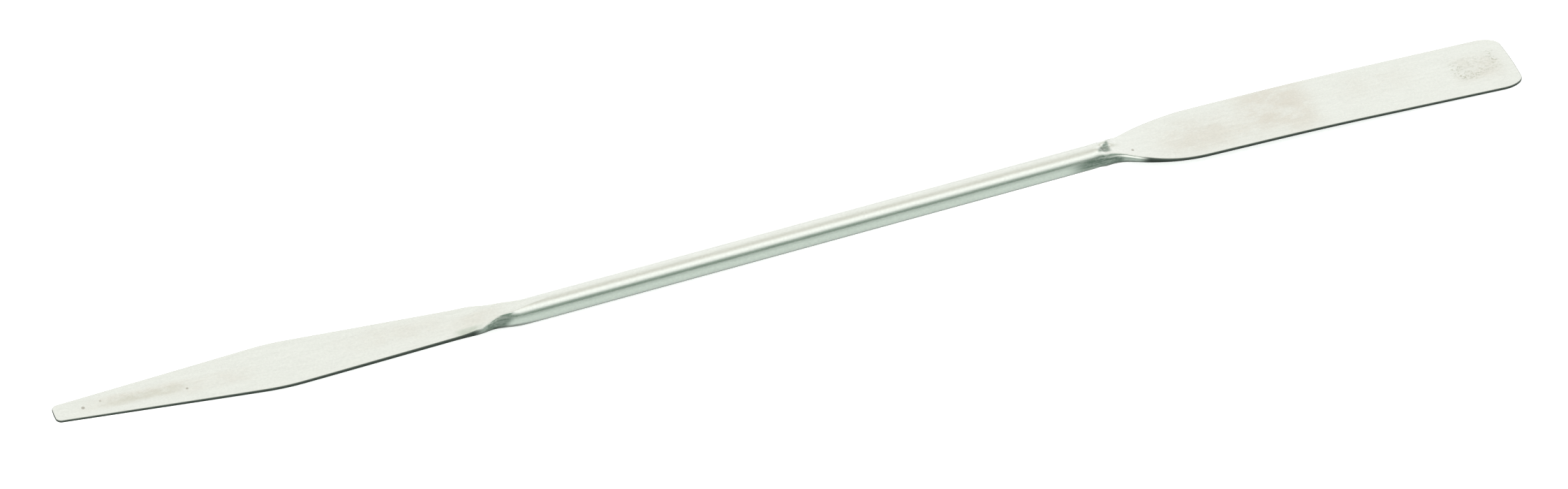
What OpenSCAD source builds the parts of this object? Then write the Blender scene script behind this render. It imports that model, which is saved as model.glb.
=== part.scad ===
// Double-ended laboratory micro-spatula: one round steel bar with both ends pressed flat.
// One end is a tapered blade, the other a broad square blade.
// X runs along the bar, Y across the blades, and Z is up from the surface the tool lies on.
// Sizes are in millimetres and angles in degrees.

/* [Bar] */
// Diameter of the round bar
bar_d = 3; // [2.4:0.1:4]
// Length of the round stretch left between the two pressed ends
bar_len = 66; // [30:1:140]

/* [Tapered blade] */
// Length from the round bar to the tip
taper_len = 59; // [50:0.5:90]
// Width where the blade leaves its neck
taper_root_w = 4.15; // [3.4:0.05:5]
// Width across the shoulder, measured where its two straight flanks would cross
taper_shoulder_w = 7.15; // [5:0.05:12]
// Distance from the round bar to the shoulder
taper_shoulder_at = 33.2; // [28:0.1:40]
// Width at the tip
taper_tip_w = 2.45; // [1.5:0.05:6]
// Thickness where the blade leaves its neck
taper_root_t = 0.55; // [0.4:0.01:0.8]
// Thickness at the tip
taper_tip_t = 0.34; // [0.2:0.01:0.6]
// Height of the blade's middle over the bar's axis where it leaves its neck
taper_offset = 0.77; // [-0.8:0.01:0.9]
// Upward slope of the blade's inner half
taper_slope_in = 3.2; // [0:0.1:8]
// Upward slope of the blade's outer half
taper_slope_out = 4.1; // [0:0.1:10]

/* [Square blade] */
// Length from the round bar to the tip
square_len = 55; // [48:0.5:90]
// Width where the blade leaves its neck
square_root_w = 7.9; // [5:0.05:14]
// Width at the tip
square_tip_w = 8.7; // [5:0.05:16]
// Thickness where the blade leaves its neck
square_root_t = 0.46; // [0.35:0.01:0.8]
// Thickness at the tip
square_tip_t = 0.4; // [0.2:0.01:0.7]
// Depth of the blade's middle under the bar's axis where it leaves its neck
square_offset = 0.84; // [-0.8:0.01:0.9]
// Downward slope of the blade's inner half
square_slope_in = 2; // [0.5:0.1:6]
// Downward slope of the blade's outer half
square_slope_out = 3.8; // [2:0.1:9]

/* [Tapered neck] */
// Length over which the bar's crown is pressed down to the blade
taper_top_run = 12.5; // [6:0.1:16]
// Length over which the bar's underside is pressed up to the blade
taper_under_run = 13; // [6:0.1:16]
// Distance from the round bar to where the neck starts to widen
taper_flare_at = 6.8; // [3:0.1:10]
// Length over which the neck widens
taper_flare_run = 3.6; // [2:0.1:6]

/* [Square neck] */
// Distance from the round bar to the edge that the die left in the crown
square_step_at = 0.8; // [0.4:0.1:3]
// Length of the short facet below that edge
square_step_run = 1.4; // [0.8:0.1:3]
// Depth of the short facet
square_step_drop = 0.55; // [0.2:0.01:0.9]
// Length from the facet's foot to where the top is flat
square_top_run = 9.4; // [6:0.1:12]
// Length over which the bar's underside is pressed up to the blade
square_under_run = 6; // [3:0.1:12]
// Distance from the round bar to where the neck starts to widen
square_flare_at = 2.6; // [1:0.1:5]
// Length over which the neck widens
square_flare_run = 11.2; // [7:0.1:14]

/* [Tips] */
// How far the tapered tip bows out along its middle
taper_bow = 0.1; // [0:0.01:0.8]
// How far the square tip bows out along its middle
square_bow = 0.28; // [0:0.01:1.5]
// How far the tapered tip's corners are rounded back
taper_corner_back = 0.65; // [0.2:0.01:1.2]
// How far the square tip's corners are rounded back
square_corner_back = 2.9; // [0.4:0.1:3.2]

/* [Hidden] */

bar_r = bar_d / 2;
steel = [0.79, 0.8, 0.78];

// The pressed ends start inside the bar, a hair under its surface and this far back from its end.
seat = 0.02;
overlap = 1;
end_r = bar_r - seat;

// Half the width of the narrow flats that each pressed end starts from, and their height.
first_flat = 0.15;
first_top = sqrt(end_r * end_r - first_flat * first_flat);

// Half the length over which the shoulder, and the bend in each blade, are rounded.
shoulder_round = 2.3;
taper_bend_round = 10;
square_bend_round = 7;
taper_bend_at = 34.6;
square_bend_at = 28.8;

// How early in a run its hollow curve gives way to a round one: 0 is at once, 1 is at the end.
taper_top_turn = 0.9;
taper_under_turn = 0.38;
taper_flare_turn = 0.44;
square_step_turn = 0.5;
square_top_turn = 0.05;
square_under_turn = 0.18;
square_flare_turn = 0.19;

// A tip's outline: how far it bows out, and how far its corners are rounded back.
taper_tip = [taper_bow, taper_corner_back];
square_tip = [square_bow, square_corner_back];

// Stretch behind a tip over which the cross-lines take up its outline: at least this long, and this
// many times the setback of its corners, so that no line overtakes the one before it.
shortest_tip_zone = 4;
tip_zone_share = 2.5;
// Power that sets how tightly the corners turn: a higher one turns them later.
corner_power = 10;

// Steps across a flat, round a side, along a neck, along a bend, and along a tip.
flat_steps = 12;
side_steps = 10;
neck_steps = 16;
bend_steps = 12;
tip_steps = 4;

// Rises from 0 to 1 as t does, along a hollow parabola up to t = k and a round one beyond.
function ease(t, k) =
    t <= 0 ? 0 : t >= 1 ? 1 : t < k ? t * t / k : 1 - (1 - t) * (1 - t) / (1 - k);

// A level line that turns at s = 0 to unit slope, its corner rounded over b each way.
function turn(s, b) = s <= -b ? 0 : s >= b ? s : (s + b) * (s + b) / (4 * b);

function blend(a, b, t) = a + (b - a) * t;

// Height at s of a line that starts at start with slope_in and bends to slope_out.
function bent(s, start, slope_in, slope_out, from, bend_at, round_by) =
    start + tan(slope_in) * (s - from) + (tan(slope_out) - tan(slope_in)) * turn(s - bend_at, round_by);

// Tapered blade: distances s run outwards from the end of the round bar.
taper_root_at = taper_flare_at + taper_flare_run;
taper_in_pitch = (taper_shoulder_w - taper_root_w) / 2 / (taper_shoulder_at - taper_root_at);
taper_out_pitch = (taper_tip_w - taper_shoulder_w) / 2 / (taper_len - taper_shoulder_at);
taper_edge = function(s)
    taper_root_w / 2 + taper_in_pitch * (s - taper_root_at)
    + (taper_out_pitch - taper_in_pitch) * turn(s - taper_shoulder_at, shoulder_round);
taper_half = function(s)
    blend(end_r, taper_edge(s), ease((s - taper_flare_at) / taper_flare_run, taper_flare_turn));
taper_thick = function(s)
    blend(taper_root_t, taper_tip_t, (s - taper_root_at) / (taper_len - taper_root_at));
taper_mid = function(s)
    bent(s, taper_offset, taper_slope_in, taper_slope_out, taper_root_at, taper_bend_at, taper_bend_round);
taper_top = function(s)
    blend(first_top, taper_mid(s) + taper_thick(s) / 2, ease(s / taper_top_run, taper_top_turn));
taper_under = function(s)
    blend(-first_top, taper_mid(s) - taper_thick(s) / 2, ease(s / taper_under_run, taper_under_turn));

// Square blade.
square_root_at = square_flare_at + square_flare_run;
square_foot_at = square_step_at + square_step_run;
square_edge = function(s)
    blend(square_root_w, square_tip_w, (s - square_root_at) / (square_len - square_root_at)) / 2;
square_half = function(s)
    blend(end_r, square_edge(s), ease((s - square_flare_at) / square_flare_run, square_flare_turn));
square_thick = function(s)
    blend(square_root_t, square_tip_t, (s - square_root_at) / (square_len - square_root_at));
square_mid = function(s)
    bent(s, -square_offset, -square_slope_in, -square_slope_out, square_root_at, square_bend_at,
         square_bend_round);
square_crown = function(s)
    first_top - square_step_drop * ease((s - square_step_at) / square_step_run, square_step_turn);
square_top = function(s)
    blend(square_crown(s), square_mid(s) + square_thick(s) / 2,
          ease((s - square_foot_at) / square_top_run, square_top_turn));
square_under = function(s)
    blend(-first_top, square_mid(s) - square_thick(s) / 2, ease(s / square_under_run, square_under_turn));

// How far a tip's outline lies back at the share y of the half width: by its corner's rounding
// alone, and with its bow as well.
function rounding(y, tip) = tip[1] * pow(abs(y), corner_power);
function setback(y, tip) = tip[0] * y * y + rounding(y, tip);

function tip_zone(tip) = max(shortest_tip_zone, tip_zone_share * setback(1, tip));

// How much of that setback a section takes, from none at the tip zone's start to all at the tip.
function tip_share(s, reach, tip) = pow(max(0, (s - reach) / tip_zone(tip) + 1), 2);

// Evenly spaced distances from a to b, leaving b out.
function steps(a, b, n) = [for (i = [0 : n - 1]) blend(a, b, i / n)];

// The distances at which an end's sections stand.
function stations(neck_end, bend_from, bend_to, reach, tip) = concat(
    [-overlap],
    steps(0, neck_end, neck_steps),
    steps(neck_end, bend_from, 2),
    steps(bend_from, bend_to, bend_steps),
    [bend_to],
    steps(reach - tip_zone(tip), reach, tip_steps),
    [reach]
);

// Places across a flat, closer together towards its edges, from -1 to 1.
across = [for (j = [0 : flat_steps]) sin(180 * j / flat_steps - 90)];

// One section: a bar pressed between two flats, whose sides keep the bar's roundness.
// Its heights follow the blade back round the corners but not round the bow, which leaves the tip
// level across between its corners, so that the tool lies steadily on it.
function section(s, reach, tip, half, top, under) =
    let (
        share = tip_share(s, reach, tip),
        edge_s = s - setback(1, tip) * share,
        high = top(s - rounding(1, tip) * share),
        low = under(s - rounding(1, tip) * share),
        side_y = half(edge_s) - end_r,
        swell = asin(min(1, (high - low) / 2 / end_r)),
        flat = side_y + end_r * cos(swell),
        line = [for (y = across)
            let (t = s - setback(y, tip) * share, h = s - rounding(y, tip) * share)
            [t, y * (flat + half(t) - half(edge_s)), top(h), under(h)]],
        side = [for (i = [1 : side_steps - 1])
            let (a = blend(swell, -swell, i / side_steps))
            [side_y + end_r * cos(a), (high + low) / 2 + end_r * sin(a)]]
    )
    concat(
        [for (p = line) [p.x, p.y, p.z]],
        [for (q = side) [edge_s, q.x, q.y]],
        [for (j = [flat_steps : -1 : 0]) [line[j].x, line[j].y, line[j][3]]],
        [for (i = [side_steps - 2 : -1 : 0]) [edge_s, -side[i].x, side[i].y]]
    );

// A pressed end along +X, with its sections skinned and both ends closed.
module pressed_end(at, reach, tip, half, top, under) {
    ring = 2 * (flat_steps + side_steps);
    last = (len(at) - 1) * ring;
    under_first = flat_steps + side_steps;
    points = [for (s = at) each section(s, reach, tip, half, top, under)];
    skin = [
        for (i = [0 : len(at) - 2], j = [0 : ring - 1])
            let (a = i * ring + j, b = i * ring + (j + 1) % ring)
            each [[a, b, a + ring], [b, b + ring, a + ring]]
    ];
    inner_cap = [[for (j = [ring - 1 : -1 : 0]) j]];
    tip_face = [
        for (j = [0 : flat_steps - 1])
            let (a = last + j, c = last + under_first + flat_steps - j)
            each [[a, a + 1, c], [a + 1, c - 1, c]]
    ];
    tip_sides = [
        [for (i = [flat_steps : under_first]) last + i],
        [for (i = [under_first + flat_steps : ring]) last + i % ring]
    ];
    polyhedron(points, concat(skin, inner_cap, tip_face, tip_sides), convexity = 6);
}

module tapered_end() {
    at = stations(max(taper_under_run, taper_top_run), taper_bend_at - taper_bend_round,
                  taper_bend_at + taper_bend_round, taper_len, taper_tip);
    rotate([0, 0, 180])
        pressed_end(at, taper_len, taper_tip, taper_half, taper_top, taper_under);
}

module square_end() {
    at = stations(square_root_at, square_bend_at - square_bend_round,
                  square_bend_at + square_bend_round, square_len, square_tip);
    pressed_end(at, square_len, square_tip, square_half, square_top, square_under);
}

// The tool lies on the drooping square tip and on the far end of the round bar, which tilts it.
// It touches at two places on the tip, each halfway out to a corner.
square_tip_x = bar_len + square_len;
square_touch_x = square_tip_x - setback(0.5, square_tip);
square_tip_low = square_under(square_len);
rest_tilt = atan((-bar_r - square_tip_low) / square_touch_x);

// Where the two tips come along X once tilted, and how far the bar's axis is lifted at its end.
left_x = -taper_len * cos(rest_tilt) - taper_top(taper_len) * sin(rest_tilt);
right_x = square_tip_x * cos(rest_tilt) - square_tip_low * sin(rest_tilt);
axis_lift = bar_r * cos(rest_tilt);

module spatula() {
    color(steel)
        translate([-(left_x + right_x) / 2, 0, axis_lift])
            rotate([0, -rest_tilt, 0])
                union() {
                    rotate([0, 90, 0]) cylinder(h = bar_len, r = bar_r, $fn = 96);
                    tapered_end();
                    translate([bar_len, 0, 0]) square_end();
                }
}

spatula();
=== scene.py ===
"""Looks of a double-ended laboratory micro-spatula: one steel bar with both ends pressed flat.

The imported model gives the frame: +X runs from the tapered tip to the square tip, +Y across the
blades and +Z up from the surface the tool lies on. Sizes below are in millimetres, and meshes
are scaled to metres as they are made.
"""
import logging
import math
from collections.abc import Callable
from dataclasses import dataclass, field
from enum import Enum

import bpy
import numpy as np
from mathutils import Matrix, Vector


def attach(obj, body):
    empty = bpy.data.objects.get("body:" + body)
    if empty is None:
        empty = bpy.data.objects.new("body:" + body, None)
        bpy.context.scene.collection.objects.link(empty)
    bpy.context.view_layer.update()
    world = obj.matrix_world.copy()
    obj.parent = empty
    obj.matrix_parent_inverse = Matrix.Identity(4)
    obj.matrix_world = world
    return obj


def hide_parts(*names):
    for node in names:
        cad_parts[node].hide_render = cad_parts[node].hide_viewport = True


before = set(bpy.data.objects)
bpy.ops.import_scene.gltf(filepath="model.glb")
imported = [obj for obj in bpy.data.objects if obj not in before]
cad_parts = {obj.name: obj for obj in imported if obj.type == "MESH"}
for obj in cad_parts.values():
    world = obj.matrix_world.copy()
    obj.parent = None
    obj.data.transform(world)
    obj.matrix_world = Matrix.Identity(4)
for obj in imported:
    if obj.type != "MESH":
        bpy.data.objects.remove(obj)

LOG = logging.getLogger("spatula")
MM = 0.001
UNDERSIDE = 1.5  # the share of painted shade on the underside itself, where it is 1 on the sides


class End(Enum):
    """Which end of the bar a blade stands on, as the direction in which it runs along X."""

    TAPERED = -1
    SQUARE = 1


class Mask(Enum):
    """A share that every point of the surface holds for its finish and its painted shade, as its
    attribute's name.
    """

    SHEARED = "sheared"
    MARKED_AND_SHADED = "marked"
    DULL_AND_SHADED = "dulled"


Array = np.ndarray
Range = tuple[float, float]
Colour = tuple[float, float, float]
Shares = dict[Mask, Array]


# ---- curves in one variable


def ease(t: Array, k: float) -> Array:
    """Rises from 0 at t = 0 to 1 at t = 1: a hollow parabola up to t = k, a round one beyond it."""
    t = np.clip(t, 0.0, 1.0)
    return np.where(t < k, t * t / k, 1 - (1 - t) ** 2 / (1 - k))


def turn(s: Array, b: float) -> Array:
    """A level line that turns to unit slope at s = 0, its corner a parabola b long each way."""
    return np.where(s < -b, 0.0, np.where(s > b, s, (s + b) ** 2 / (4 * b)))


def smooth(t: Array) -> Array:
    """The smoothstep 3t^2 - 2t^3 of t held between 0 and 1."""
    t = np.clip(t, 0.0, 1.0)
    return t * t * (3 - 2 * t)


def slope(degrees: float) -> float:
    """Rise over run of a line at that angle."""
    return math.tan(math.radians(degrees))


def blend(first: Array, last: Array, share: Array) -> Array:
    """first + (last - first) * share: the first at share 0 and the last at share 1."""
    return first + (last - first) * share


@dataclass(frozen=True)
class Ramp:
    """A smooth rise from 0 at start to 1 a run beyond it."""

    start: float
    run: float

    def up(self, t: Array) -> Array:
        """The smoothstep of (t - start) / run."""
        return smooth((t - self.start) / self.run)

    def down(self, t: Array) -> Array:
        """1 less the rise."""
        return 1 - self.up(t)


# ---- sections of the tool


@dataclass
class Steps:
    """How many strips each part of a section is cut into, and where its points lie."""

    flat: int = 24
    fillet: int = 4
    side: int = 16

    @property
    def flank(self) -> int:
        """Strips from one flat's edge to the other's, over a side."""
        return 2 * self.fillet + self.side

    @property
    def around(self) -> int:
        """Points in a whole ring."""
        return 2 * (self.flat + self.flank)

    @property
    def across(self) -> Array:
        """Places across a flat from -1 to 1, closer together at its edges: a sine of even angles."""
        return np.sin(np.linspace(-math.pi / 2, math.pi / 2, self.flat + 1))


@dataclass
class Outline:
    """Rings along an end, each with its size, height and the way its edge faces.

    Every field is an array with one value a ring. along and half give the outermost point of the
    ring, facing is the angle in radians that the outline has turned there from across to along.
    """

    along: Array
    half: Array
    facing: Array
    top: Array
    under: Array
    centre: Array
    fillet: Array
    crown: Array

    def flank(self, steps: Steps, radius: float) -> tuple[Array, Array]:
        """The rounded side of each ring: a fillet, an arc of the bar's own radius, a fillet.

        The arc stands at height centre and the flats cut it. Each fillet touches the flat and the
        arc, so its own centre lies on a circle of radius (bar - fillet) at the height (flat -
        fillet), which gives the angle at which it hands over to the arc.

        Args:
            steps: Strips of the fillets and the arc.
            radius: The bar's radius.

        Returns:
            How far each point lies inside the outermost line, and its height, both (rings, points).
        """
        c, f = self.centre[:, None], self.fillet[:, None]
        inner = radius - f
        upper = np.arcsin(np.clip((self.top[:, None] - c - f) / inner, -1, 1))
        lower = np.arcsin(np.clip((c - self.under[:, None] - f) / inner, -1, 1))
        step = np.linspace(0.0, 1.0, steps.fillet + 1)
        first = math.pi / 2 + (upper - math.pi / 2) * step[None, :-1]
        arc = upper - (upper + lower) * np.linspace(0.0, 1.0, steps.side + 1)[None, :]
        last = -lower + (lower - math.pi / 2) * step[None, 1:]
        inset = np.hstack([
            radius - inner * np.cos(upper) - f * np.cos(first),
            radius - radius * np.cos(arc),
            radius - inner * np.cos(lower) - f * np.cos(last),
        ])
        height = np.hstack([
            self.top[:, None] - f + f * np.sin(first),
            c + radius * np.sin(arc),
            self.under[:, None] + f + f * np.sin(last),
        ])
        return inset, height

    def rings(self, steps: Steps, radius: float) -> Array:
        """Points of every ring: over the top, down the +Y side, back underneath and up the -Y side.

        A point of a side lies its inset inside the outline along the outline's own normal, which
        is (sin facing, cos facing). A flat's points share their edge's place along X, and on the
        bar they are lifted on to its circle by sqrt(r^2 - y^2) - sqrt(r^2 - edge^2).

        Args:
            steps: Strips of each part of a ring.
            radius: The bar's radius.

        Returns:
            Points (rings, around, 3), with X outwards from the bar's end.
        """
        inset, height = self.flank(steps, radius)
        turned = self.facing[:, None]
        x = self.along[:, None] - inset * np.sin(turned)
        y = self.half[:, None] - inset * np.cos(turned)
        row = y[:, [0]] * steps.across
        low_row = y[:, [-1]] * steps.across[::-1]

        def lifted(places: Array, edge: Array) -> Array:
            """How far the bar's circle stands above the chord through both edges."""
            inside = np.clip(radius**2 - places**2, 0, None) ** 0.5
            return self.crown[:, None] * (inside - np.clip(radius**2 - edge**2, 0, None) ** 0.5)

        top_z = self.top[:, None] + lifted(row, y[:, [0]])
        low_z = self.under[:, None] - lifted(low_row, y[:, [-1]])
        xs = [x[:, [0]] + 0 * row, x[:, 1:-1], x[:, [-1]] + 0 * row, x[:, -2:0:-1]]
        ys = [row, y[:, 1:-1], low_row, -y[:, -2:0:-1]]
        zs = [top_z, height[:, 1:-1], low_z, height[:, -2:0:-1]]
        return np.dstack([np.hstack(xs), np.hstack(ys), np.hstack(zs)])


@dataclass
class Bar:
    """The round stretch between the two pressed ends."""

    diameter: float = 3.0
    length: float = 66.0
    first_flat: float = 0.15
    fillet: float = 0.5
    ring_gap: float = 0.5

    @property
    def radius(self) -> float:
        """Half the diameter."""
        return self.diameter / 2

    @property
    def first_top(self) -> float:
        """Height of a chord first_flat wide each way, from which the pressing starts."""
        return math.sqrt(self.radius**2 - self.first_flat**2)

    def outline(self) -> Outline:
        """Rings of the plain bar, both of its ends left out.

        Returns:
            The outline, its along running from one end of the bar to the other.
        """
        count = round(self.length / self.ring_gap)
        along = np.linspace(0, self.length, count + 1)[1:-1]
        one = np.ones_like(along)
        return Outline(along, self.radius * one, 0 * one, self.first_top * one, -self.first_top * one,
                       0 * one, self.fillet * one, one)


@dataclass
class Blade:
    """What both pressed ends share.

    Distances s, and the X of points, run outwards from the end of the round bar. Points have x, y
    and z on their last axis.
    """

    bar: Bar
    steps: Steps
    length: float
    root_w: float
    tip_w: float
    root_t: float
    tip_t: float
    root_at: float
    offset: float
    slope_in: float
    slope_out: float
    bend_at: float
    bend_round: float
    flare_at: float
    flare_run: float
    flare_turn: float
    under_run: float
    under_turn: float
    corner_long: float
    corner_wide: float
    bow: float
    bow_zone: float = 6.0
    crown_run: float = 1.2
    neck_fillet: float = 0.16
    blade_fillet: float = 0.09
    fillet_run: float = 2.0
    fillet_limit: float = 0.4
    neck_gap: float = 0.12
    neck_more: float = 1.0
    blade_gap: float = 0.5
    least_gap: float = 0.3
    corner_steps: int = 12
    # painted shade: these ramps set where the lower sides are darkened, and the underside more
    low_shade: Ramp = Ramp(0.38, 0.18)
    under_shade: Ramp = Ramp(0.2, 0.4)
    shear: Ramp = Ramp(5.4, 1.5)
    shear_power: float = 0.4

    def outwards(self, s: Array) -> Array:
        """Share of the way from the blade's root to its tip at s."""
        return (s - self.root_at) / (self.length - self.root_at)

    def edge(self, s: Array) -> Array:
        """Half the blade's width at s, before the neck narrows it."""
        return blend(self.root_w, self.tip_w, self.outwards(s)) / 2

    def half(self, s: Array) -> Array:
        """Half the width at s: the bar's radius, widening to the blade's edge through the flare."""
        rise = ease((s - self.flare_at) / self.flare_run, self.flare_turn)
        return blend(self.bar.radius, self.edge(s), rise)

    def thick(self, s: Array) -> Array:
        """The blade's thickness at s, straight from its root to its tip."""
        return blend(self.root_t, self.tip_t, self.outwards(s))

    def middle(self, s: Array) -> Array:
        """Height of the blade's middle at s: a line that bends once, with a rounded corner."""
        bend = (slope(self.slope_out) - slope(self.slope_in)) * turn(s - self.bend_at, self.bend_round)
        return self.offset + slope(self.slope_in) * (s - self.root_at) + bend

    def top(self, s: Array) -> Array:
        """Height of the upper flat at s."""
        raise NotImplementedError

    def under(self, s: Array) -> Array:
        """Height of the lower flat at s: from the bar's underside up to the blade's."""
        goal = self.middle(s) - self.thick(s) / 2
        return blend(-self.bar.first_top, goal, ease(s / self.under_run, self.under_turn))

    def centre(self, s: Array) -> Array:
        """Height at which the rounded sides stand."""
        return (self.top(s) + self.under(s)) / 2

    def fillet(self, s: Array) -> Array:
        """Radius of the rounding between flats and sides at s, always less than half the thickness.

        It goes from the bar's to the neck's over fillet_run, and from there to the blade's through
        the flare and fillet_run beyond it.

        Args:
            s: Distances from the bar's end.

        Returns:
            The radius at each distance.
        """
        made = blend(self.bar.fillet, self.neck_fillet, smooth(s / self.fillet_run))
        flare = Ramp(self.flare_at, self.flare_run + self.fillet_run)
        made = blend(made, self.blade_fillet, flare.up(s))
        return np.minimum(made, self.fillet_limit * (self.top(s) - self.under(s)))

    def outline(self) -> Outline:
        """Rings from the bar's end to the tip, the last ones turning round the tip's corner.

        The corner is a quarter ellipse: at its angle a, a ring stands corner_long * sin(a) further
        out and is corner_wide * (1 - cos(a)) narrower. The outline faces the way whose tangent is
        (corner_wide * sin(a)) / (corner_long * cos(a)).

        Returns:
            The outline with facing 0 along the sides and a right angle at the tip.
        """
        start = self.length - self.bow - self.corner_long
        neck = np.arange(0, self.flare_at + self.flare_run + self.neck_more, self.neck_gap)
        blade = np.arange(neck[-1] + self.neck_gap, start - self.least_gap, self.blade_gap)
        angle = np.linspace(0, math.pi / 2, self.corner_steps + 1)
        body = np.concatenate([neck, blade])
        along = np.concatenate([body, start + self.corner_long * np.sin(angle)])
        angle = np.concatenate([0 * body, angle])
        facing = np.arctan2(self.corner_wide * np.sin(angle), self.corner_long * np.cos(angle))
        half = self.half(along) - self.corner_wide * (1 - np.cos(angle))
        crown = 1 - smooth(along / self.crown_run)
        return Outline(along, half, facing, self.top(along), self.under(along), self.centre(along),
                       self.fillet(along), crown)

    def shaped(self, rings: Array) -> Array:
        """The rings with what only one side of the end has."""
        raise NotImplementedError

    def rings(self) -> Array:
        """Points of the end's rings, (rings, around, 3), with X outwards from the bar's end."""
        return self.shaped(self.outline().rings(self.steps, self.bar.radius))

    def marked(self, points: Array) -> Array:
        """How strongly each point is darkened: die scuffs, partly painted shade."""
        raise NotImplementedError

    def dulled(self, points: Array) -> Array:
        """1 on the lower part of the sides, painted darker as shade and made rougher, and 0 on what is
        above.

        Heights are shares of half the thickness, from -1 underneath to 1 on top. It fades upwards
        over the ramp low_shade, and goes on to UNDERSIDE downwards over under_shade, where the painted
        shade is deepest.

        Args:
            points: Points of the end or of the bar.

        Returns:
            A share for each point.
        """
        s = np.maximum(points[..., 0], 0)
        middle, deep = (self.top(s) + self.under(s)) / 2, (self.top(s) - self.under(s)) / 2
        height = (points[..., 2] - middle) / deep
        return self.low_shade.down(height) + (UNDERSIDE - 1) * self.under_shade.up(-height)

    def bowed(self, points: Array) -> Array:
        """Pushes the tip's middle out: x grows by bow * (1 - (y / half)^2) at the very tip.

        Args:
            points: Points of rings or of the cap.

        Returns:
            The points with their x moved.
        """
        share = smooth((points[..., 0] - self.length + self.bow_zone) / self.bow_zone)
        wide = self.half(np.array(self.length))
        moved = points.copy()
        moved[..., 0] += self.bow * share * (1 - np.clip(points[..., 1] / wide, -1, 1) ** 2)
        return moved

    # painted shade: this share gives the blade sides their near-black, with a rougher finish
    def sheared(self, rings: Array) -> Array:
        """How much of each point is sheared edge rather than pressed or drawn surface.

        It is 1 on a blade's sides and 0 on its flats, and rises over each fillet as its share to
        the shear_power. It fades out along the neck, where the sides are the bar's drawn surface.

        Args:
            rings: Points of the rings, for their distance along.

        Returns:
            A share for each point, (rings, around).
        """
        st = self.steps
        on_side = np.zeros(st.around)
        step = np.linspace(0, 1, st.fillet + 1)[1:]
        flank = np.concatenate([step, np.ones(st.side - 1), step[::-1]]) ** self.shear_power
        on_side[st.flat + 1: st.flat + 1 + flank.size] = flank
        on_side[2 * st.flat + st.flank + 1:] = flank
        return self.shear.up(rings[:, :1, 0]) * on_side[None, :]

    def shares(self, rings: Array) -> Shares:
        """Each mask's share at every point of the rings."""
        return {Mask.SHEARED: self.sheared(rings), Mask.MARKED_AND_SHADED: self.marked(rings),
                Mask.DULL_AND_SHADED: self.dulled(rings)}


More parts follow.
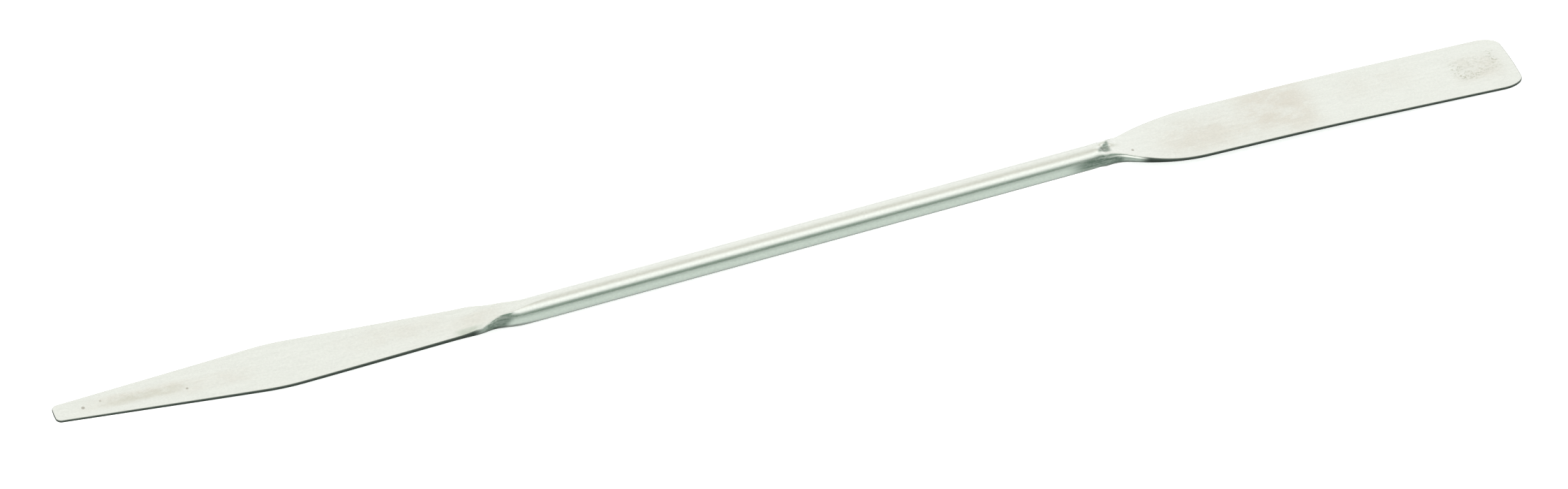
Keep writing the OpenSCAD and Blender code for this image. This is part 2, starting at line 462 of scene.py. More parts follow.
@dataclass
class TaperedBlade(Blade):
    """The narrow blade, widest at its shoulder and tapering to a small square tip."""

    length: float = 59.0
    root_w: float = 4.15
    shoulder_w: float = 7.15
    shoulder_at: float = 33.2
    shoulder_round: float = 2.3
    tip_w: float = 2.45
    root_t: float = 0.55
    tip_t: float = 0.34
    root_at: float = 10.4
    offset: float = 0.77
    slope_in: float = 3.2
    slope_out: float = 4.1
    bend_at: float = 34.6
    bend_round: float = 10.0
    flare_at: float = 6.8
    flare_run: float = 3.6
    flare_turn: float = 0.44
    top_run: float = 12.5
    top_turn: float = 0.9
    under_run: float = 13.0
    under_turn: float = 0.38
    side: Ramp = Ramp(3.0, 5.0)
    corner_long: float = 0.55
    corner_wide: float = 0.55
    bow: float = 0.1
    shear: Ramp = Ramp(8.8, 1.8)
    scoop_in: Ramp = Ramp(4.6, 2.8)
    scoop_out: Ramp = Ramp(9.2, 2.0)
    scoop_depth: float = 0.07
    scoop_low: float = 0.75
    ridge_from: float = 4.0
    ridge_run: float = 5.7
    ridge_turn: float = 0.9
    ridge_first: float = 0.3
    ridge_last: float = 1.9
    ridge_past: float = 0.3
    # painted shade with die scuffs in the neck's scoop: its strength and its extent
    scuff_and_shade: float = 0.9
    scuff_in: Ramp = Ramp(4.3, 1.3)
    scuff_out: Ramp = Ramp(8.2, 2.2)
    scuff_lean: float = 1.1
    scuff_drop: float = 0.34
    scuff_lift: Ramp = Ramp(4.9, 2.6)
    scuff_edge: Ramp = Ramp(0.03, 0.15)

    def edge(self, s: Array) -> Array:
        """Half the width at s: two straight flanks that meet at the shoulder, rounded there.

        Args:
            s: Distances from the bar's end.

        Returns:
            Half the width at each distance.
        """
        rise = (self.shoulder_w - self.root_w) / 2 / (self.shoulder_at - self.root_at)
        fall = (self.tip_w - self.shoulder_w) / 2 / (self.length - self.shoulder_at)
        corner = (fall - rise) * turn(s - self.shoulder_at, self.shoulder_round)
        return self.root_w / 2 + rise * (s - self.root_at) + corner

    def top(self, s: Array) -> Array:
        """Height of the upper flat at s, pressed down from the bar's crown."""
        goal = self.middle(s) + self.thick(s) / 2
        return blend(self.bar.first_top, goal, ease(s / self.top_run, self.top_turn))

    def centre(self, s: Array) -> Array:
        """Height of the sides: on the bar's own axis at first, then midway between the flats."""
        return super().centre(s) * self.side.up(s)

    def shaped(self, rings: Array) -> Array:
        """Presses a hollow scoop into the neck's -Y side, under the flat's edge.

        The flat's edge there is drawn in to a ridge that swings out along the neck, ridge_past
        beyond that edge at most. From the ridge the side runs straight to a point at scoop_low of
        the arc, and is hollowed by scoop_depth * sin(pi t).

        Args:
            rings: Points of the rings.

        Returns:
            The rings with their -Y side pressed in along the neck.
        """
        made, st = rings.copy(), self.steps
        s = rings[:, 0, 0]
        share = self.scoop_in.up(s) * self.scoop_out.down(s)
        rise = ease((s - self.ridge_from) / self.ridge_run, self.ridge_turn)
        ridge = blend(self.ridge_first, self.ridge_last, rise)
        edge = -rings[:, 0, 1]
        near = blend(edge, np.minimum(ridge, edge + self.ridge_past), np.sqrt(share))
        far = rings[:, st.flat, 1]
        made[:, :st.flat + 1, 1] = (near + far)[:, None] * (st.across + 1) / 2 - near[:, None]
        low = st.fillet + round(self.scoop_low * st.side)
        order = -np.arange(low + 1) % st.around
        t = np.linspace(0, 1, low + 1)[None, :, None]
        first, last = made[:, None, 0], rings[:, None, order[-1]]
        chord = blend(first, last, t)
        along = (last - first)[..., 1:]
        inward = np.stack([-along[..., 1], along[..., 0]], -1)
        inward = inward / np.linalg.norm(inward, axis=-1, keepdims=True)
        chord[..., 1:] += self.scoop_depth * np.sin(math.pi * t) * inward
        made[:, order] = blend(rings[:, order], chord, share[:, None, None])
        return made

    def marked(self, points: Array) -> Array:
        """Scuffed and darkened with painted shade in the scoop, under the flat's edge.

        The scuffs reach further towards the bar the higher they are, by scuff_lean. They begin
        scuff_drop under the flat's edge near the bar, and right at it further out.

        Args:
            points: Points of the end or of the bar.

        Returns:
            A share for each point.
        """
        s = points[..., 0]
        depth = self.top(s) - points[..., 2]
        along = self.scuff_in.up(s - self.scuff_lean * depth) * self.scuff_out.down(s)
        return self.scuff_and_shade * along * self.scuff_edge.up(depth - self.scuff_drop * self.scuff_lift.down(s))


@dataclass
class SquareBlade(Blade):
    """The broad blade, with the short facet that the die's edge left in the crown of its neck."""

    length: float = 55.0
    root_w: float = 7.9
    tip_w: float = 8.7
    root_t: float = 0.46
    tip_t: float = 0.4
    root_at: float = 13.8
    offset: float = -0.84
    slope_in: float = -2.0
    slope_out: float = -3.8
    bend_at: float = 28.8
    bend_round: float = 7.0
    flare_at: float = 2.6
    flare_run: float = 11.2
    flare_turn: float = 0.19
    step_at: float = 0.8
    step_run: float = 1.4
    step_drop: float = 0.55
    step_turn: float = 0.5
    far_run: float = 4.2
    far_side: Ramp = Ramp(-0.2, 0.6)
    top_run: float = 9.4
    top_turn: float = 0.05
    under_run: float = 6.0
    under_turn: float = 0.18
    corner_long: float = 2.7
    corner_wide: float = 1.35
    corner_steps: int = 20
    bow: float = 0.28
    touch_back: float = 0.0728
    # where the facet and the scored sides are darkened: die marks, partly painted shade
    facet: float = 0.85
    facet_at: float = 0.75
    facet_slant: float = 1.35
    facet_corner: float = -0.5
    facet_in: Ramp = Ramp(0.0, 0.35)
    facet_out: Ramp = Ramp(2.3, 0.5)
    facet_side: Ramp = Ramp(-0.98, 0.3)
    facet_low: Ramp = Ramp(0.0, 0.3)
    score_in: Ramp = Ramp(-3.6, 3.4)
    score_thin: Ramp = Ramp(3.4, 0.8)
    score_out: Ramp = Ramp(6.4, 1.2)
    score_low: Ramp = Ramp(-0.85, 0.5)
    score_top: Ramp = Ramp(0.26, 0.16)
    score_side: Ramp = Ramp(1.1, 0.15)

    def _fall(self, s: Array, run: float) -> Array:
        """Height of a line that steps down from the crown, then on to the blade.

        Args:
            s: Distances from the bar's end.
            run: Length of the step.

        Returns:
            The height at each distance.
        """
        crown = self.bar.first_top - self.step_drop * ease((s - self.step_at) / run, self.step_turn)
        goal = self.middle(s) + self.thick(s) / 2
        foot = self.step_at + self.step_run
        return blend(crown, goal, ease((s - foot) / self.top_run, self.top_turn))

    def top(self, s: Array) -> Array:
        """Height of the upper flat at s: the crown, its stepped facet, then down to the blade."""
        return self._fall(s, self.step_run)

    def shaped(self, rings: Array) -> Array:
        """Leaves the crown's +Y half round beside the facet, to run gently into the blade.

        The flat there rises to a line that falls over far_run, but not above the bar's own circle,
        sqrt(r^2 - y^2), and comes back to the facet towards the -Y side.

        Args:
            rings: Points of the rings.

        Returns:
            The rings with the +Y half of their top raised beside the facet.
        """
        made = rings.copy()
        flat = slice(self.steps.flat + 1)
        x, y, z = np.moveaxis(rings[:, flat], -1, 0)
        circle = np.clip(self.bar.radius**2 - y**2, 0, None) ** 0.5
        goal = np.minimum(np.maximum(circle, z), np.maximum(self._fall(x, self.far_run), z))
        made[:, flat, 2] = blend(z, goal, self.far_side.up(y))
        return made

    def marked(self, points: Array) -> Array:
        """Die scuffs on the stepped facet and lengthwise scores on the bar's sides beside it, partly
        painted shade.

        The facet's upper edge runs level up to facet_corner and slants over the crown beyond it.
        The scores are half as strong past score_thin, and keep score_top below the upper flat.

        Args:
            points: Points of the end or of the bar.

        Returns:
            A share for each point.
        """
        s, y, z = np.moveaxis(points, -1, 0)
        edge = self.facet_at + self.facet_slant * np.maximum(y - self.facet_corner, 0)
        facet = self.facet_in.up(s - edge) * self.facet_out.down(s)
        facet = self.facet * facet * self.facet_side.up(y) * self.facet_low.up(z)
        depth = self.top(np.maximum(s, 0)) - z
        scores = self.score_in.up(s) * self.score_out.down(s) * (1 + self.score_thin.down(s)) / 2
        scores = scores * self.score_low.up(z) * self.score_top.up(depth)
        return np.maximum(facet, scores * self.score_side.up(np.abs(y)))


# ---- shader arithmetic


@dataclass(frozen=True)
class Pattern:
    """A noise: its waves a unit of length along each axis, its further octaves and their strength.

    The shift makes one noise differ from another.
    """

    waves: tuple[float, float, float]
    detail: float
    rough: float
    shift: tuple[float, float, float] = (0, 0, 0)


def operator(operation: str, swapped: bool = False) -> Callable[["Term", "Term | float"], "Term"]:
    """Makes an operator of Term, which adds one Math node.

    Args:
        operation: The node's operation.
        swapped: Whether the other value goes in first, as in 1 - mask.

    Returns:
        The operator.
    """
    def applied(self: "Term", other: "Term | float") -> "Term":
        """The node's result."""
        values = (other, self) if swapped else (self, other)
        return self.graph.node("Math", {"operation": operation}, dict(enumerate(values)))

    return applied


class Term:
    """A shader value: arithmetic on it adds Math nodes to its graph."""

    __add__, __radd__ = operator("ADD"), operator("ADD", True)
    __sub__, __rsub__ = operator("SUBTRACT"), operator("SUBTRACT", True)
    __mul__, __rmul__ = operator("MULTIPLY"), operator("MULTIPLY", True)
    __truediv__, __rtruediv__ = operator("DIVIDE"), operator("DIVIDE", True)

    def __init__(self, graph: "Graph", socket: bpy.types.NodeSocket | None) -> None:
        """Wraps an output socket of the graph, or none for a node without outputs."""
        self.graph = graph
        self.socket = socket

    def __neg__(self) -> "Term":
        """Minus self."""
        return self * -1.0

    def absolute(self) -> "Term":
        """The size of self without its sign."""
        return self.graph.node("Math", {"operation": "ABSOLUTE"}, {0: self})

    def rises(self, low: float, high: float) -> "Term":
        """Smoothly 0 to 1 as self goes from low to high, or back where high is the lower."""
        inputs = {"Value": self, "From Min": low, "From Max": high}
        return self.graph.node("MapRange", {"interpolation_type": "SMOOTHSTEP"}, inputs, "Result")

    def within(self, middle: float, reach: float, fade: float) -> "Term":
        """1 within reach of middle, fading to 0 over fade beyond it."""
        return (self - middle).absolute().rises(reach + fade, reach)


class Graph:
    """A node tree, empty at first, with one method that adds any node."""

    def __init__(self, tree: bpy.types.NodeTree) -> None:
        """Empties the tree and keeps it."""
        self.tree = tree
        tree.nodes.clear()

    def node(self, kind: str, settings: dict | None = None, inputs: dict | None = None,
             output: str | int = 0) -> Term:
        """Adds a node.

        Args:
            kind: The node's type, without its prefix ShaderNode.
            settings: Its properties, set before its sockets. "stops" is a colour ramp's list of
                (place, colour).
            inputs: Values or terms for its sockets, by name or number.
            output: The output wanted, by name or number.

        Returns:
            That output.
        """
        made = self.tree.nodes.new("ShaderNode" + kind)
        for name, value in (settings or {}).items():
            if name == "stops":
                self._stops(made.color_ramp, value)
            else:
                setattr(made, name, value)
        for name, value in (inputs or {}).items():
            socket = made.inputs[name]
            if isinstance(value, Term):
                self.tree.links.new(value.socket, socket)
            else:
                socket.default_value = value
        return Term(self, made.outputs[output]) if made.outputs else Term(self, None)

    @staticmethod
    def _stops(ramp: bpy.types.ColorRamp, stops: list[tuple[float, Colour]]) -> None:
        """Gives a colour ramp its stops.

        Args:
            ramp: The ramp.
            stops: Each stop's place and colour.
        """
        while len(ramp.elements) < len(stops):
            ramp.elements.new(1.0)
        for element, (place, colour) in zip(ramp.elements, stops):
            element.position = place
            element.color = (*colour, 1.0)

    def axes(self, vector: Term) -> list[Term]:
        """The vector's X, Y and Z."""
        return [self.node("SeparateXYZ", {}, {0: vector}, axis) for axis in range(3)]

    def mix(self, share: "Term | float", first: "Term | tuple", second: "Term | tuple",
            how: str = "MIX") -> Term:
        """Mixes two colours.

        Args:
            share: How much of the second, 0 to 1.
            first: The first colour.
            second: The second colour.
            how: The blend type.

        Returns:
            The mixed colour.
        """
        def colour(c: "Term | tuple") -> "Term | tuple":
            """A plain colour with its alpha."""
            return c if isinstance(c, Term) else (*c, 1.0)

        settings = {"data_type": "RGBA", "blend_type": how, "clamp_factor": True}
        a, b, result = 6, 7, 2  # numbers of the node's colour sockets
        return self.node("Mix", settings, {0: share, a: colour(first), b: colour(second)}, result)

    def noise(self, where: Term, pattern: Pattern) -> Term:
        """Smooth noise from 0 to 1.

        Args:
            where: Coordinates in the pattern's unit.
            pattern: The noise's sizes.

        Returns:
            The noise.
        """
        sizes = {"Vector": where, "Location": pattern.shift, "Scale": pattern.waves}
        placed = self.node("Mapping", {}, sizes)
        octaves = {"Vector": placed, "Scale": 1.0, "Detail": pattern.detail, "Roughness": pattern.rough}
        return self.node("TexNoise", {"noise_dimensions": "3D"}, octaves, "Fac")


def blank(kept_in: bpy.types.bpy_prop_collection, name: str) -> tuple[bpy.types.ID, Graph]:
    """Makes a material or a world without nodes.

    Args:
        kept_in: Blender's materials or worlds.
        name: The new one's name.

    Returns:
        It, and the graph of its nodes.
    """
    made = kept_in.new(name)
    made.use_nodes = True
    return made, Graph(made.node_tree)


# ---- finishes


@dataclass(frozen=True)
class Patch:
    """A stained area, the same above and below: its middle and half size along X and Y."""

    x: float
    y: float
    long: float
    wide: float
    strength: float


@dataclass(frozen=True)
class Spot:
    """A small pit or fleck of dirt, the same above and below: its place and radius."""

    x: float
    y: float
    radius: float
    strength: float = 0.6


@dataclass(frozen=True)
class SatinSteel:
    """Satin stainless steel: fine lengthwise grain, faint tan stains, dark sheared edges partly painted
    shade, and painted shade low on the sides and in the necks.
    """

    steel: Colour = (0.545, 0.56, 0.53)
    stain: Colour = (0.46, 0.43, 0.375)
    grime_and_shade: Colour = (0.10, 0.145, 0.115)
    # the necks' dark: die scuffs, partly painted shade
    smear: Colour = (0.36, 0.40, 0.34)
    speck: Colour = (0.27, 0.28, 0.21)
    pit: Colour = (0.16, 0.14, 0.10)
    # the blade sides' near-black: partly painted shade, partly a rougher sheared finish
    cut: Colour = (0.06, 0.075, 0.065)
    # painted shade: the darker, greener colour of the lower sides
    low_shade: Colour = (0.37, 0.415, 0.38)
    rough: float = 0.13
    rough_dull: float = 0.40
    rough_cut: float = 0.5
    rough_grain: float = 0.10
    rough_cloud: float = 0.06
    rough_marked: float = 0.25
    grain: Pattern = Pattern((0.30, 2.6, 2.6), 3, 0.65)
    speckle: Pattern = Pattern((3.6, 4.2, 4.2), 3, 0.7, (3, 7, 1))
    cloud: Pattern = Pattern((0.26, 0.42, 0.42), 6, 0.72, (11, 5, 2))
    streak: Pattern = Pattern((0.45, 4.6, 4.6), 3, 0.6, (1, 2, 9))
    wear: Pattern = Pattern((2.2, 3.4, 3.4), 4, 0.8, (5, 2, 8))
    cloud_range: Range = (0.36, 0.60)
    wear_range: Range = (0.46, 0.68)
    score_range: Range = (0.36, 0.58)
    score_streak: float = 0.6
    stain_all: float = 0.10
    stain_least: float = 0.35
    # how dark the necks' scuffs and painted shade get, least to most
    shade_grime_least: float = 0.38
    shade_grime_most: float = 0.92
    tone: float = 0.84
    tone_grain: float = 0.12
    tone_speckle: float = 0.20
    tone_dull: float = 0.16
    # painted shade: how much darker still the underside is made
    under_shade_strength: float = 0.5
    relief_grain: float = 0.5
    relief_speckle: float = 0.3
    relief_score: float = 0.6
    bump: float = 0.25
    bump_metres: float = 0.00003
    full: float = 0.25
    pit_rim: Range = (1.6, 0.4)
    stains: tuple[Patch, ...] = (
        Patch(59.5, 0.6, 6.5, 6.5, 0.60),
        Patch(49.5, -0.6, 8.5, 4.2, 0.45),
        Patch(72.0, 1.0, 7.0, 3.0, 0.15),
        Patch(-80.5, 0.05, 7.5, 1.3, 0.60),
        Patch(-72.0, -0.4, 7.0, 1.6, 0.35),
        Patch(-50.0, 0.4, 9.0, 2.2, 0.22),
        Patch(-40.5, -0.2, 4.0, 1.6, 0.30),
        Patch(85.4, -0.2, 4.4, 3.0, 0.40),
    )
    smears: tuple[Patch, ...] = (
        Patch(-41.9, -1.75, 2.2, 0.75, 0.8),
        Patch(-79.5, -0.2, 7.0, 0.9, 0.25),
    )
    worn: tuple[Patch, ...] = (
        Patch(82.8, -0.1, 1.1, 1.9, 0.5),
        Patch(84.0, -1.2, 2.0, 1.0, 0.6),
        Patch(87.9, 0.8, 0.9, 2.2, 0.6),
        Patch(86.6, -0.6, 1.4, 0.9, 0.35),
        Patch(85.2, 0.3, 4.2, 2.8, 0.3),
    )
    spots: tuple[Spot, ...] = (
        Spot(-86.64, -0.05, 0.20),
        Spot(-84.53, 0.43, 0.13, 0.4),
        Spot(-74.77, -0.57, 0.15, 0.5),
        Spot(40.2, -1.0, 0.16, 0.55),
        Spot(-56.5, 3.1, 0.16, 0.4),
    )

    def material(self) -> bpy.types.Material:
        """Builds the material.

        Returns:
            The finished material.
        """
        made, g = blank(bpy.data.materials, "satin_steel")
        place = g.node("TexCoord", {}, {}, "Object")
        mm = g.node("Mapping", {}, {"Vector": place, "Scale": (1 / MM, 1 / MM, 1 / MM)})
        cut, marked, dulled = (
            g.node("Attribute", {"attribute_name": mask.value}, {}, "Fac") for mask in Mask)
        patterns = (self.grain, self.speckle, self.cloud, self.streak, self.wear)
        grain, speckle, cloud, streak, wear = (g.noise(mm, pattern) for pattern in patterns)
        broken = (self.score_streak * streak + (1 - self.score_streak) * speckle).rises(*self.score_range)
        cloudy = self.stain_least + (1 - self.stain_least) * cloud.rises(*self.cloud_range)
        stained = self.stain_all * cloud + self._laid(g, mm, self.stains) * cloudy
        colour = g.mix(stained, self.steel, self.stain)
        colour = g.mix(self._laid(g, mm, self.smears) * cloudy, colour, self.smear)
        colour = g.mix(self._laid(g, mm, self.worn) * wear.rises(*self.wear_range), colour, self.speck)
        # painted shade: the lower sides take the darker colour
        colour = g.mix(dulled, colour, self.low_shade)
        colour = g.mix(self._pits(g, mm), colour, self.pit)
        # die scuffs, partly painted shade, darken the necks
        grimy_and_shaded = self.shade_grime_least + (self.shade_grime_most - self.shade_grime_least) * broken
        colour = g.mix(marked * grimy_and_shaded, colour, self.grime_and_shade)
        shade = self.tone + self.tone_grain * grain + self.tone_speckle * speckle
        shade = shade + dulled * (self.tone_dull * (speckle - 0.5))
        # painted shade: the underside is darkened further
        shade = shade * (1 - self.under_shade_strength * dulled.rises(1.0, UNDERSIDE))
        grey = g.node("CombineColor", {}, {0: shade, 1: shade, 2: shade})
        # the blade sides turn near black: partly painted shade
        colour = g.mix(cut, g.mix(1.0, colour, grey, "MULTIPLY"), self.cut)
        roughness = self.rough + self.rough_grain * grain + self.rough_cloud * cloud
        roughness = roughness + dulled * (self.rough_dull - self.rough) + self.rough_marked * marked
        roughness = roughness + cut * (self.rough_cut - self.rough)
        relief = self.relief_grain * grain + self.relief_speckle * speckle
        relief = relief + self.relief_score * marked * streak
        bump = g.node("Bump", {}, {"Strength": self.bump, "Distance": self.bump_metres, "Height": relief})
        shader = g.node("BsdfPrincipled", {}, {
            "Base Color": colour, "Metallic": 1.0, "Roughness": roughness, "Normal": bump}, "BSDF")
        g.node("OutputMaterial", {}, {"Surface": shader})
        return made

    def _laid(self, g: Graph, mm: Term, patches: tuple[Patch, ...]) -> Term:
        """The sum of soft-edged ovals, each whole in its middle share full and gone at its rim.

        Args:
            g: The material's graph.
            mm: Coordinates in millimetres.
            patches: The ovals.

        Returns:
            How strongly each place is covered.
        """
        x, y, _ = g.axes(mm)
        fade = 1 - self.full
        total = 0.0
        for patch in patches:
            along = x.within(patch.x, self.full * patch.long, fade * patch.long)
            across = y.within(patch.y, self.full * patch.wide, fade * patch.wide)
            total = total + patch.strength * along * across
        return total

    def _pits(self, g: Graph, mm: Term) -> Term:
        """Pits and flecks: a soft disc at each spot, by the square of the distance over its radius.

        Args:
            g: The material's graph.
            mm: Coordinates in millimetres.

        Returns:
            How dark each place is.
        """
        x, y, _ = g.axes(mm)
        total = 0.0
        for spot in self.spots:
            away = ((x - spot.x) * (x - spot.x) + (y - spot.y) * (y - spot.y)) / spot.radius**2
            total = total + spot.strength * away.rises(*self.pit_rim)
        return total


@dataclass(frozen=True)
class PaleFloor:
    """Matt, almost white floor."""

    colour: Colour = (0.90, 0.905, 0.90)
    tinge: Colour = (0.85, 0.86, 0.86)
    tinged: float = 0.02
    cloud: Pattern = Pattern((9, 9, 9), 3, 0.5)
    glow: float = 0.62
    gloss: float = 0.2
    rough: float = 0.85

    def material(self) -> bpy.types.Material:
        """Builds the material.

        Returns:
            The finished material.
        """
        made, g = blank(bpy.data.materials, "pale_floor")
        place = g.node("TexCoord", {}, {}, "Object")
        colour = g.mix(self.tinged * g.noise(place, self.cloud), self.colour, self.tinge)
        shader = g.node("BsdfPrincipled", {}, {
            "Base Color": colour, "Roughness": self.rough, "Specular IOR Level": self.gloss,
            "Emission Color": (1, 1, 1, 1), "Emission Strength": self.glow}, "BSDF")
        g.node("OutputMaterial", {}, {"Surface": shader})
        return made


# ---- meshes


def quads(grid: Array) -> Array:
    """Corner numbers, (count, 4), of the faces between neighbours in a grid of point numbers."""
    return np.stack([grid[:-1, :-1], grid[1:, :-1], grid[1:, 1:], grid[:-1, 1:]], -1).reshape(-1, 4)


def mesh_object(name: str, points: Array, faces: Array, material: bpy.types.Material,
                shares: Shares | None = None) -> bpy.types.Object:
    """Makes a smooth mesh object at the origin.

    Args:
        name: The object's name.
        points: Points in metres, (count, 3).
        faces: Corner numbers of its quads, (count, 4).
        material: Its finish.
        shares: A value for each point, by mask.

    Returns:
        The object, linked into the scene.
    """
    mesh = bpy.data.meshes.new(name)
    mesh.from_pydata(points, [], faces.tolist())
    mesh.polygons.foreach_set("use_smooth", np.ones(len(mesh.polygons), bool))
    for mask, values in (shares or {}).items():
        made = mesh.attributes.new(mask.value, "FLOAT", "POINT")
        made.data.foreach_set("value", values.astype(np.float32))
    mesh.materials.append(material)
    mesh.update()
    made = bpy.data.objects.new(name, mesh)
    bpy.context.scene.collection.objects.link(made)
    return made


@dataclass
class Spatula:
    """The whole tool as one closed surface, laid down as it comes to rest."""

    steps: Steps = field(default_factory=Steps)
    bar: Bar = field(default_factory=Bar)
    finish: SatinSteel = field(default_factory=SatinSteel)
    tapered: TaperedBlade = field(init=False)
    square: SquareBlade = field(init=False)
    # the tips' caps take the blade sides' near-black and half the lower sides' painted shade
    on_caps: dict[Mask, float] = field(
        default_factory=lambda: {Mask.SHEARED: 1.0, Mask.MARKED_AND_SHADED: 0.0, Mask.DULL_AND_SHADED: 0.5})

    def __post_init__(self) -> None:
        """Stands both blades on the bar."""
        self.tapered = TaperedBlade(self.bar, self.steps)
        self.square = SquareBlade(self.bar, self.steps)

    def laid(self, points: Array) -> Array:
        """Tilts the tool about Y on to the square tip and the bar's far end, and centres it.

        The tilt is the angle whose tangent is the tip's drop below the bar's underside, over the
        distance from the bar's far end to the places that the tip lies on. The bar's axis is then
        lifted by radius * cos(tilt), and the middle between both tips goes to the origin.

        Args:
            points: Points with X along the bar from its far end, in millimetres.

        Returns:
            The points in metres, in the row's frame.
        """
        reach = self.bar.length + self.square.length
        low = float(self.square.under(np.array(self.square.length)))
        tilt = math.atan((-self.bar.radius - low) / (reach - self.square.touch_back))
        c, s = math.cos(tilt), math.sin(tilt)
        left = -self.tapered.length * c - float(self.tapered.top(np.array(self.tapered.length))) * s
        right = reach * c - low * s
        x = points[:, 0] * c - points[:, 2] * s - (left + right) / 2
        z = points[:, 0] * s + points[:, 2] * c + self.bar.radius * c
        return np.column_stack([x, points[:, 1], z]) * MM

    def _end(self, blade: Blade, end: End, base: float) -> tuple[Array, Array, Shares]:
        """One pressed end and the grid of points that closes its tip.

        The cap's top and bottom rows and its side columns are points of the last ring. Its inner
        points keep their row's place in the flank and spread evenly with the flat's own places.

        Args:
            blade: The blade.
            end: Which end it stands on.
            base: Where the bar's end is along X.

        Returns:
            Rings outwards from the bar, inner cap points, and the rings' shares.
        """
        st = self.steps
        rings = blade.rings()
        shares = blade.shares(rings)
        flank = rings[-1, st.flat: st.flat + st.flank + 1]
        inner = np.repeat(flank[1:-1, None], st.flat - 1, axis=1)
        inner[..., 1] = flank[1:-1, 1][:, None] * st.across[None, 1:-1]
        rings, inner = blade.bowed(rings), blade.bowed(inner)
        for points in (rings, inner):
            points[..., 0] = base + end.value * points[..., 0]
        return rings, inner, shares

    def _cap_faces(self, ring: int, first: int, end: End) -> Array:
        """Faces that close a tip.

        Args:
            ring: Number of the last ring's first point.
            first: Number of the first inner cap point.
            end: Which end it is.

        Returns:
            Corner numbers, (count, 4), facing outwards.
        """
        st = self.steps
        grid = np.empty((st.flank + 1, st.flat + 1), int)
        grid[0] = ring + np.arange(st.flat + 1)
        grid[:, -1] = ring + st.flat + np.arange(st.flank + 1)
        grid[-1] = (ring + st.flat + st.flank + np.arange(st.flat + 1))[::-1]
        far = np.arange(st.around, st.around - st.flank - 1, -1) % st.around
        grid[:, 0] = ring + far
        grid[1:-1, 1:-1] = first + np.arange((st.flank - 1) * (st.flat - 1)).reshape(st.flank - 1, -1)
        return quads(grid) if end is End.SQUARE else quads(grid)[:, ::-1]

    def build(self) -> tuple[Array, Array, Shares]:
        """Works out the closed surface: rings from tip to tip, and a cap over each tip.

        Returns:
            Points in metres, faces, and each point's shares.
        """
        st = self.steps
        left, left_cap, left_shares = self._end(self.tapered, End.TAPERED, 0.0)
        right, right_cap, right_shares = self._end(self.square, End.SQUARE, self.bar.length)
        bar = self.bar.outline().rings(st, self.bar.radius)
        bar_shares = self.square.shares(bar - np.array([self.bar.length, 0, 0]))
        rings = np.concatenate([left[::-1], bar, right])
        count = len(rings)
        number = np.arange(count * st.around).reshape(count, st.around)
        caps = [left_cap.reshape(-1, 3), right_cap.reshape(-1, 3)]
        first = number.size
        faces = np.concatenate([
            quads(np.hstack([number, number[:, :1]])),
            self._cap_faces(0, first, End.TAPERED),
            self._cap_faces((count - 1) * st.around, first + len(caps[0]), End.SQUARE),
        ])
        shares = {
            mask: np.concatenate([
                left_shares[mask][::-1].ravel(), bar_shares[mask].ravel(), right_shares[mask].ravel(),
                np.full(len(caps[0]) + len(caps[1]), value)])
            for mask, value in self.on_caps.items()
        }
        return self.laid(np.concatenate([rings.reshape(-1, 3), *caps])), faces, shares

    def dress(self) -> bpy.types.Object:
        """Makes the mesh, gives it its finish and puts it in the frame.

        Returns:
            The finished piece.
        """
        points, faces, shares = self.build()
        piece = mesh_object("spatula_steel", points, faces, self.finish.material(), shares)
        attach(piece, "root")
        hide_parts("spatula")
        return piece


# ---- studio


@dataclass
class Floor:
    """The pale surface that the tool lies on: a flat square, its reach each way in metres."""

    reach: float = 6.0
    strips: int = 12
    finish: PaleFloor = field(default_factory=PaleFloor)

    def build(self) -> tuple[Array, Array]:
        """Points (x, y, 0) over an even grid from -reach to reach both ways.

        Returns:
            Points in metres and faces.
        """
        side = np.linspace(-self.reach, self.reach, self.strips + 1)
        x, y = np.meshgrid(side, side, indexing="ij")
        number = np.arange(x.size).reshape(x.shape)
        return np.column_stack([x.ravel(), y.ravel(), 0 * x.ravel()]), quads(number)

    def dress(self) -> bpy.types.Object:
        """Makes the floor.

        Returns:
            The floor.
        """
        points, faces = self.build()
        made = mesh_object("floor", points, faces, self.finish.material())
        return made


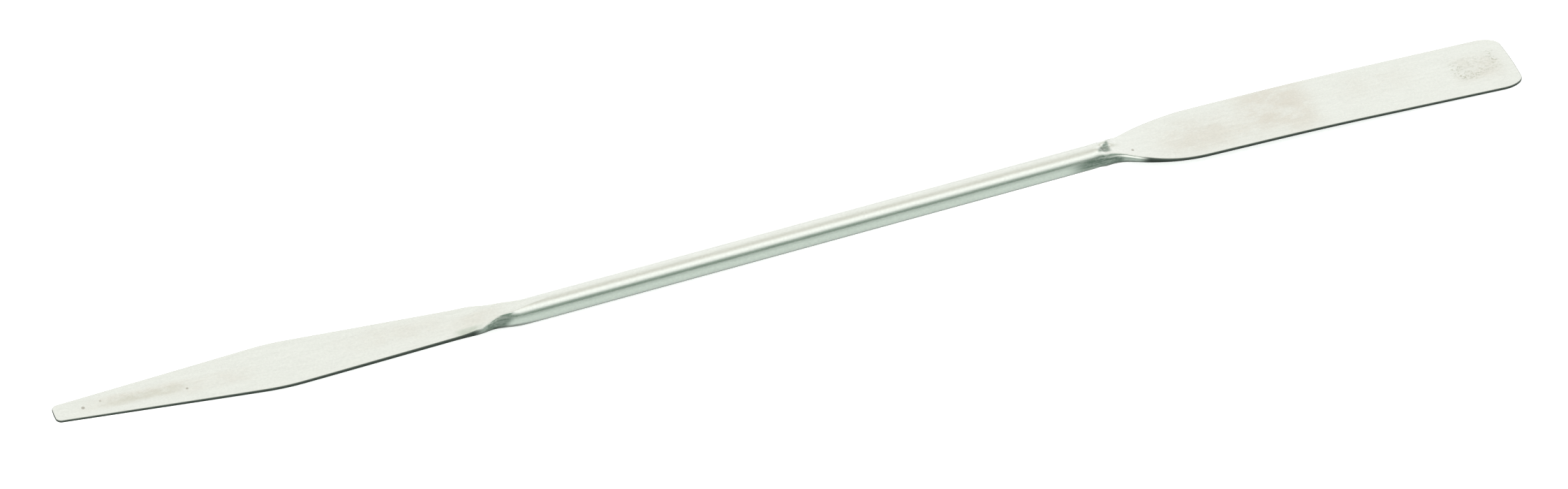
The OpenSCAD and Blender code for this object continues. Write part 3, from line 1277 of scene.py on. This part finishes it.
@dataclass(frozen=True)
class StudioLight:
    """Soft light all round the tool, given by height over the horizon across the tool.

    Each stop is an angle in degrees, 0 at the front horizon, 90 overhead and 180 at the back
    horizon, with the colour of the light from there.
    """

    stops: tuple[tuple[float, Colour], ...] = (
        (-180, (0.8, 0.8, 0.8)),
        (-90, (0.84, 0.86, 0.84)),
        (-50, (0.84, 0.88, 0.85)),
        (-25, (0.56, 0.6, 0.57)),
        (-4, (0.2, 0.25, 0.21)),
        (8, (0.2, 0.275, 0.225)),
        (28, (0.2, 0.275, 0.225)),
        (44, (0.84, 0.88, 0.85)),
        (56, (1.14, 1.16, 1.14)),
        (72, (1.17, 1.18, 1.16)),
        (83, (0.92, 0.92, 0.87)),
        (90, (0.8, 0.79, 0.74)),
        (101, (0.78, 0.77, 0.72)),
        (114, (0.92, 0.92, 0.88)),
        (131, (0.99, 0.99, 0.965)),
        (160, (1.06, 1.06, 1.05)),
        (180, (0.8, 0.8, 0.8)),
    )
    strength: float = 1.54
    turn_from: float = 0.268
    turn_to: float = 0.30
    turned: float = 5.0
    filled: float = 0.10
    band_at: float = 0.55
    band_reach: float = 0.05
    band_fade: float = 0.03

    def build(self) -> bpy.types.World:
        """Makes the world: the angle is the arc tangent of up over front.

        In directions whose X share is past turn_from, the light is turned forwards by turned
        degrees, and its dark band, at the share band_at of the whole turn, is partly filled.

        Returns:
            The world.
        """
        world, g = blank(bpy.data.worlds, "studio")
        way = g.node("TexCoord", {}, {}, "Generated")
        x, y, z = g.axes(way)
        angle = g.node("Math", {"operation": "ARCTAN2"}, {0: z, 1: -y})
        past = x.rises(self.turn_from, self.turn_to)
        share = angle / (2 * math.pi) + 0.5 + (self.turned / 360) * past
        top = max(max(colour) for _, colour in self.stops)
        stops = [((a + 180) / 360, tuple(c / top for c in colour)) for a, colour in self.stops]
        light = g.node("ValToRGB", {"stops": stops}, {0: share}, "Color")
        band = share.within(self.band_at, self.band_reach, self.band_fade)
        light = g.mix(past * band * self.filled, light, (1.0, 1.0, 1.0))
        back = g.node("Background", {}, {"Color": light, "Strength": self.strength * top})
        g.node("OutputWorld", {}, {"Surface": back})
        bpy.context.scene.world = world
        return world


@dataclass(frozen=True)
class Viewpoint:
    """The camera, looking down on the tool from its front and its tapered end.

    Its distance, target, lens and sensor are in millimetres, and the clipping in metres.
    """

    azimuth: float = 21.9368
    elevation: float = 44.9837
    roll: float = 1.2307
    distance: float = 703.57
    target: tuple[float, float, float] = (-2.5854, 1.1053, 0.0594)
    lens: float = 139.88
    sensor: float = 36.0
    nearest: float = 0.01
    furthest: float = 50.0

    def build(self) -> bpy.types.Object:
        """Makes the camera and sets it as the scene's.

        Forward is (sin az cos el, cos az cos el, -sin el), right is (cos az, -sin az, 0), up is
        right x forward, and the roll then turns right and up about forward.

        Returns:
            The camera.
        """
        az, el, ro = (math.radians(v) for v in (self.azimuth, self.elevation, self.roll))
        forward = Vector((math.sin(az) * math.cos(el), math.cos(az) * math.cos(el), -math.sin(el)))
        right = Vector((math.cos(az), -math.sin(az), 0))
        up = right.cross(forward)
        right, up = right * math.cos(ro) + up * math.sin(ro), up * math.cos(ro) - right * math.sin(ro)
        data = bpy.data.cameras.new("camera")
        data.lens, data.sensor_width, data.sensor_fit = self.lens, self.sensor, "HORIZONTAL"
        data.clip_start, data.clip_end = self.nearest, self.furthest
        made = bpy.data.objects.new("camera", data)
        turned = Matrix((right, up, -forward)).transposed().to_4x4()
        turned.translation = (Vector(self.target) - forward * self.distance) * MM
        made.matrix_world = turned
        bpy.context.scene.collection.objects.link(made)
        bpy.context.scene.camera = made
        return made


def main() -> None:
    """Builds the studio and the tool in order, and reports each piece."""
    logging.basicConfig(level=logging.INFO, format="%(message)s")
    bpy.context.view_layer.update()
    scene = bpy.context.scene
    scene.view_settings.view_transform = "Standard"
    StudioLight().build()
    Viewpoint().build()
    floor = Floor().dress()
    LOG.info("floor: %d faces", len(floor.data.polygons))
    piece = Spatula().dress()
    LOG.info("%s: %d points, %d faces", piece.name, len(piece.data.vertices), len(piece.data.polygons))


if __name__ == "__main__":
    main()
